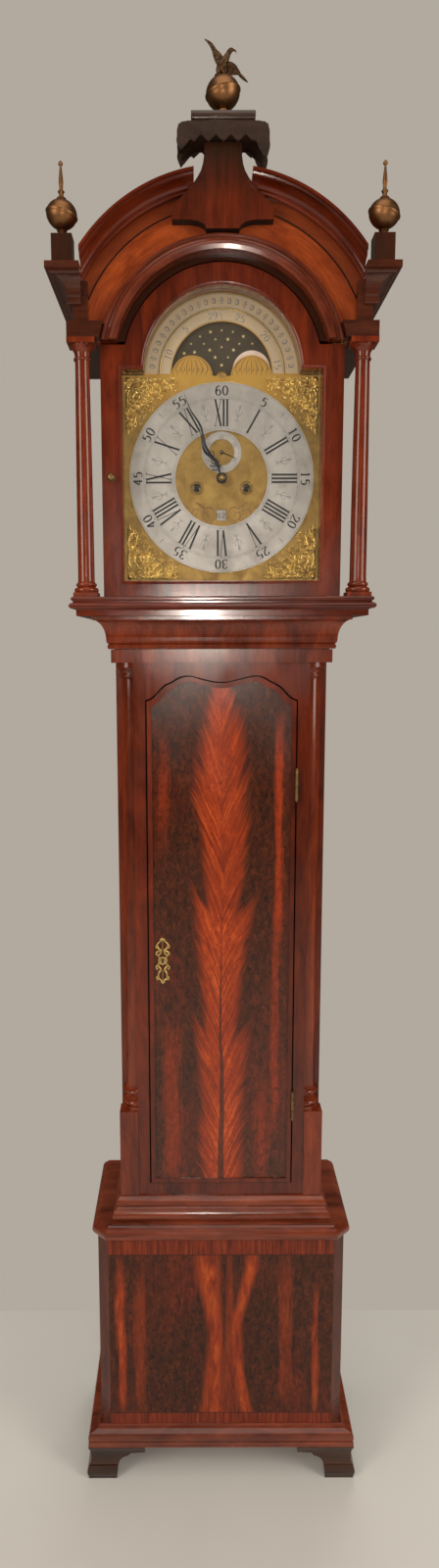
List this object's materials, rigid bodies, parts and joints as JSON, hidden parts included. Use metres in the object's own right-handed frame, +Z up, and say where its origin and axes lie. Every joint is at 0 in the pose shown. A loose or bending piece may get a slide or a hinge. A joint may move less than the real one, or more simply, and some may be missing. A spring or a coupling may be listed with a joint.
{
  "type": "longcase clock",
  "caption": "Tall mahogany longcase clock with sliding arched hood, glazed and trunk doors, arched brass moon dial, weights, pendulum and eagle finial.",
  "frame": {"origin": "on the floor, in the middle of the clock's width and of its depth over the cornice", "axes": "+Z up, -Y the front that shows the dial, +X to the right seen from the front"},
  "size_m": [0.55, 0.26, 2.4783],
  "materials": {
    "mahogany": "polished, glossy",
    "figured_mahogany": "polished flame veneer",
    "orange_veneer": "polished veneer",
    "carcase_wood": "plain, waxed",
    "lacquered_brass": "polished and lacquered",
    "gilt_brass": "gilt, cast",
    "silvered_brass": "silvered, satin",
    "bronzed_brass": "dark patinated bronze",
    "painted_disc": "painted",
    "blued_steel": "blued, polished",
    "bright_steel": "polished",
    "bell_metal": "turned",
    "gut": "twisted gut",
    "glass": "clear"
  },
  "bodies": {
    "case": {"backboard": "carcase_wood", "base_panels": "figured_mahogany", "canted_corners": "mahogany", "base_mouldings": "mahogany", "bracket_feet": "mahogany", "trunk_sides": "mahogany", "trunk_frame": "mahogany", "quarter_columns": "mahogany", "throat_moulding": "mahogany", "seatboard": "carcase_wood", "hinge_frame_leaves": "lacquered_brass", "dial_plate": "lacquered_brass", "dial_rings": "silvered_brass", "spandrels": "gilt_brass", "movement_frame": "lacquered_brass", "bell": "bell_metal", "going_line": "gut", "strike_line": "gut"},
    "trunk_door": {"trunk_door": "figured_mahogany", "trunk_door_bead": "mahogany", "trunk_escutcheon": "lacquered_brass", "hinge_door_leaves": "lacquered_brass"},
    "hood": {"hood_sides": "mahogany", "hood_base_moulding": "mahogany", "hood_columns": "mahogany", "hood_friezes": "mahogany", "tympanum": "orange_veneer", "inner_arch_moulding": "mahogany", "arched_cornice": "mahogany", "side_cornices": "mahogany", "hood_roof": "carcase_wood", "finial_plinths": "mahogany", "canopy": "mahogany", "side_finials": "bronzed_brass", "eagle_finial": "bronzed_brass", "dial_mask": "mahogany"},
    "hood_door": {"hood_door": "mahogany", "hood_glass": "glass", "hood_door_pivots": "lacquered_brass", "hood_door_knob": "lacquered_brass"},
    "centre_arbor": {"centre_wheel": "lacquered_brass", "minute_hand": "blued_steel"},
    "hour_wheel": {"hour_hand": "blued_steel"},
    "motion_wheel": {"motion_wheel": "lacquered_brass"},
    "great_wheel": {"great_wheel": "lacquered_brass"},
    "third_wheel": {"third_wheel": "lacquered_brass"},
    "escape_arbor": {"escape_wheel": "lacquered_brass", "seconds_hand": "blued_steel"},
    "moon_disc": {"moon_disc": "painted_disc"},
    "date_ring": {"date_ring": "silvered_brass"},
    "going_weight": {"going_weight": "lacquered_brass"},
    "going_pulley": {"going_pulley": "lacquered_brass"},
    "going_barrel": {"going_barrel": "lacquered_brass"},
    "strike_weight": {"strike_weight": "lacquered_brass"},
    "strike_pulley": {"strike_pulley": "lacquered_brass"},
    "strike_barrel": {"strike_barrel": "lacquered_brass"},
    "pendulum": {"pendulum_rod": "bright_steel", "pendulum_bob": "lacquered_brass"},
    "anchor": {"anchor": "bright_steel"},
    "hammer": {"hammer": "bright_steel"}
  },
  "joints": [
    {"name": "hood_slide", "type": "slide", "parent": "case", "child": "hood", "axis": [0, -1, 0], "range_m": [0, 0.3]},
    {"name": "hood_door_swing", "type": "hinge", "parent": "hood", "child": "hood_door", "pos_m": [0.192, -0.078, 1.84], "axis": [0, 0, 1], "range_deg": [0, 95]},
    {"name": "trunk_door_swing", "type": "hinge", "parent": "case", "child": "trunk_door", "pos_m": [0.1294, -0.0744, 1], "axis": [0, 0, 1], "range_deg": [0, 110]},
    {"name": "minute_hand_turn", "type": "hinge", "parent": "case", "child": "centre_arbor", "pos_m": [0, -0.02, 1.837], "axis": [0, 1, 0], "continuous": true},
    {"name": "hour_hand_turn", "type": "hinge", "parent": "case", "child": "hour_wheel", "pos_m": [0, -0.023, 1.837], "axis": [0, 1, 0], "continuous": true},
    {"name": "motion_wheel_turn", "type": "hinge", "parent": "case", "child": "motion_wheel", "pos_m": [0, -0.02, 1.81], "axis": [0, 1, 0], "continuous": true},
    {"name": "great_wheel_turn", "type": "hinge", "parent": "case", "child": "great_wheel", "pos_m": [0.0415, -0.0065, 1.822], "axis": [0, 1, 0], "continuous": true},
    {"name": "third_wheel_turn", "type": "hinge", "parent": "case", "child": "third_wheel", "pos_m": [0.0127, 0.04, 1.8591], "axis": [0, 1, 0], "continuous": true},
    {"name": "seconds_hand_turn", "type": "hinge", "parent": "case", "child": "escape_arbor", "pos_m": [0, 0.02, 1.879], "axis": [0, 1, 0], "continuous": true},
    {"name": "moon_disc_turn", "type": "hinge", "parent": "case", "child": "moon_disc", "pos_m": [0, -0.0405, 2.001], "axis": [0, 1, 0], "continuous": true},
    {"name": "date_ring_turn", "type": "hinge", "parent": "case", "child": "date_ring", "pos_m": [0, -0.0405, 1.837], "axis": [0, 1, 0], "continuous": true},
    {"name": "going_weight_fall", "type": "slide", "parent": "case", "child": "going_weight", "axis": [0, 0, 1], "range_m": [-0.85, 0.4], "deforming": ["going_line"]},
    {"name": "going_pulley_turn", "type": "hinge", "parent": "going_weight", "child": "going_pulley", "pos_m": [0.0335, 0.014, 1.29], "axis": [0, 1, 0], "range_deg": [-2870, 1350]},
    {"name": "going_barrel_turn", "type": "hinge", "parent": "case", "child": "going_barrel", "pos_m": [0.0415, 0.014, 1.822], "axis": [0, 1, 0], "range_deg": [-3900, 1840]},
    {"name": "strike_weight_fall", "type": "slide", "parent": "case", "child": "strike_weight", "axis": [0, 0, 1], "range_m": [-0.85, 0.4], "deforming": ["strike_line"]},
    {"name": "strike_pulley_turn", "type": "hinge", "parent": "strike_weight", "child": "strike_pulley", "pos_m": [-0.0495, 0.014, 1.29], "axis": [0, 1, 0], "range_deg": [-2870, 1350]},
    {"name": "strike_barrel_turn", "type": "hinge", "parent": "case", "child": "strike_barrel", "pos_m": [-0.0415, 0.014, 1.822], "axis": [0, 1, 0], "range_deg": [-3900, 1840]},
    {"name": "pendulum_swing", "type": "hinge", "parent": "case", "child": "pendulum", "pos_m": [0, 0.072, 1.907], "axis": [0, 1, 0], "range_deg": [-3, 3]},
    {"name": "anchor_rock", "type": "hinge", "parent": "case", "child": "anchor", "pos_m": [0, 0.02, 1.907], "axis": [0, 1, 0], "range_deg": [-3, 3]},
    {"name": "hammer_lift", "type": "hinge", "parent": "case", "child": "hammer", "pos_m": [-0.055, 0.005, 1.895], "axis": [0, -1, 0], "range_deg": [-5, 14], "stiffness_Nm_per_rad": 0.3}
  ],
  "couplings": [
    {"joint": "hour_hand_turn", "follows": "minute_hand_turn", "ratio": 0.083333},
    {"joint": "motion_wheel_turn", "follows": "minute_hand_turn", "ratio": -1},
    {"joint": "great_wheel_turn", "follows": "minute_hand_turn", "ratio": -0.083333},
    {"joint": "third_wheel_turn", "follows": "minute_hand_turn", "ratio": -7.5},
    {"joint": "seconds_hand_turn", "follows": "minute_hand_turn", "ratio": 60},
    {"joint": "moon_disc_turn", "follows": "minute_hand_turn", "ratio": 0.00070621},
    {"joint": "date_ring_turn", "follows": "minute_hand_turn", "ratio": 0.0013441},
    {"joint": "going_barrel_turn", "follows": "going_weight_fall", "rad_per_m": 80},
    {"joint": "going_pulley_turn", "follows": "going_weight_fall", "rad_per_m": 58.824},
    {"joint": "strike_barrel_turn", "follows": "strike_weight_fall", "rad_per_m": 80},
    {"joint": "strike_pulley_turn", "follows": "strike_weight_fall", "rad_per_m": 58.824},
    {"joint": "anchor_rock", "follows": "pendulum_swing", "ratio": 1}
  ]
}
